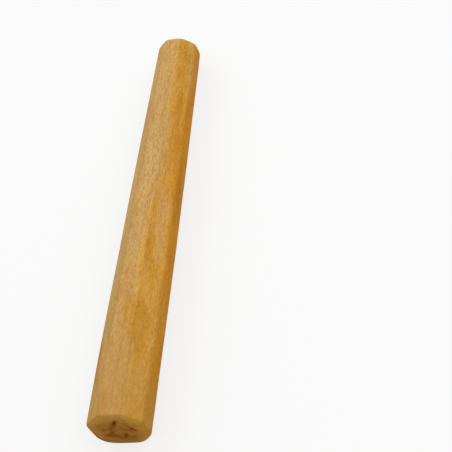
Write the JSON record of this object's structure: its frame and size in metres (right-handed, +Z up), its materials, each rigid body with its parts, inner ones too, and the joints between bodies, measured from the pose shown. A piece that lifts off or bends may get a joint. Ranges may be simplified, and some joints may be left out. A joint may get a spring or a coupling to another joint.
{
  "type": "wooden peg",
  "caption": "Tapered octagonal hardwood peg with planed flats, softened edges and lathe-centre marks in its thick end",
  "frame": {"origin": "middle of the footprint, on the surface that the peg lies on", "axes": "+X along the peg towards the thick end, +Z up, +Y to the left when looking along +X"},
  "size_m": [0.1502, 0.019, 0.019],
  "materials": {
    "wood": "satin"
  },
  "bodies": {
    "root": {"peg": "wood"}
  },
  "joints": []
}
